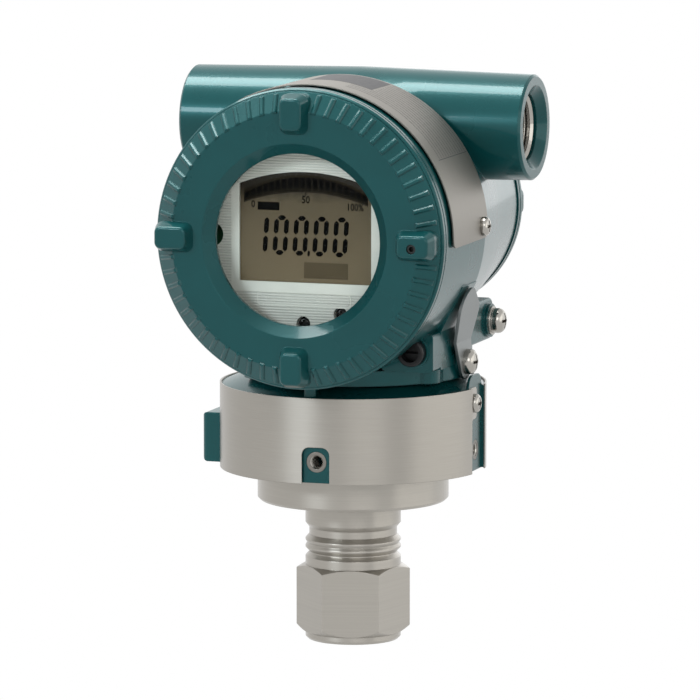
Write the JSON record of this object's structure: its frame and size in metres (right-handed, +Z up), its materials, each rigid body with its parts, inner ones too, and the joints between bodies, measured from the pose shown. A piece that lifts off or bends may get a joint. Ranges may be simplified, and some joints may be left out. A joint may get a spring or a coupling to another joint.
{
  "type": "pressure transmitter",
  "caption": "Field pressure transmitter: die-cast amplifier drum with display window and screw covers on a swivel neck over a capsule casting, hexagon process connector below.",
  "frame": {"origin": "centre of the mouth of the process connection, on the pressure axis", "axes": "+Z up along the pressure axis, the display window looks towards -Y, conduit entries open towards +X and -X"},
  "size_m": [0.11, 0.1335, 0.1764],
  "materials": {
    "paint": "gloss enamel",
    "stainless_turned": "turned",
    "stainless_brushed": "brushed",
    "nickel": "bright",
    "board": "lacquered board",
    "seal": "matt",
    "window": "clear",
    "mask": "fine ribs",
    "display": "display",
    "case": "matt",
    "black_plastic": "matt"
  },
  "bodies": {
    "sensor_unit": {"process_connector": "stainless_turned", "process_body": "stainless_turned", "isolating_diaphragm": "stainless_turned", "sensor_capsule": "stainless_turned", "sensor_board": "board", "capsule_casting": "paint", "capsule_band": "stainless_brushed", "band_screw": "nickel", "mounting_inserts": "nickel"},
    "housing": {"amplifier_housing": "paint", "neck_retaining_ring": "nickel", "neck_o_ring": "seal", "nameplate": "stainless_brushed", "nameplate_screws": "nickel", "zero_adjust_bush": "black_plastic", "tag_plate": "stainless_brushed", "tag_plate_screw": "nickel", "ground_washers": "nickel", "ground_screw": "nickel", "indicator_bezel": "mask", "lcd_panel": "display", "indicator_board": "board", "indicator_screws": "nickel", "amplifier_case": "case", "amplifier_screws": "nickel", "terminal_block": "black_plastic", "terminal_screws": "nickel"},
    "front_cover_lead": {"front_cover_o_ring": "seal"},
    "front_cap": {"front_cover": "paint", "window_glass": "window", "window_gasket": "seal", "window_retainer": "nickel", "cover_lock_screw": "nickel"},
    "rear_cover_lead": {"rear_cover_o_ring": "seal"},
    "rear_cap": {"rear_cover": "paint"},
    "zero_adjuster": {"zero_adjust_screw": "black_plastic"}
  },
  "joints": [
    {"name": "housing_swivel", "type": "hinge", "parent": "sensor_unit", "child": "housing", "pos_m": [0, 0, 0.078], "axis": [0, 0, 1], "range_deg": [-172, 172]},
    {"name": "front_cover_travel", "type": "slide", "parent": "housing", "child": "front_cover_lead", "axis": [0, -1, 0], "range_m": [0, 0.009]},
    {"name": "front_cover_turn", "type": "hinge", "parent": "front_cover_lead", "child": "front_cap", "pos_m": [0, 0, 0.12965], "axis": [0, -1, 0], "range_deg": [0, 2160]},
    {"name": "rear_cover_travel", "type": "slide", "parent": "housing", "child": "rear_cover_lead", "axis": [0, 1, 0], "range_m": [0, 0.009]},
    {"name": "rear_cover_turn", "type": "hinge", "parent": "rear_cover_lead", "child": "rear_cap", "pos_m": [0, 0, 0.12965], "axis": [0, 1, 0], "range_deg": [0, 2160]},
    {"name": "zero_adjust_turn", "type": "hinge", "parent": "housing", "child": "zero_adjuster", "pos_m": [0.0292, -0.0304, 0.0942], "axis": [0, -1, 0], "continuous": true}
  ],
  "couplings": [
    {"joint": "front_cover_travel", "follows": "front_cover_turn", "m_per_rad": 0.00023873},
    {"joint": "rear_cover_travel", "follows": "rear_cover_turn", "m_per_rad": 0.00023873}
  ]
}
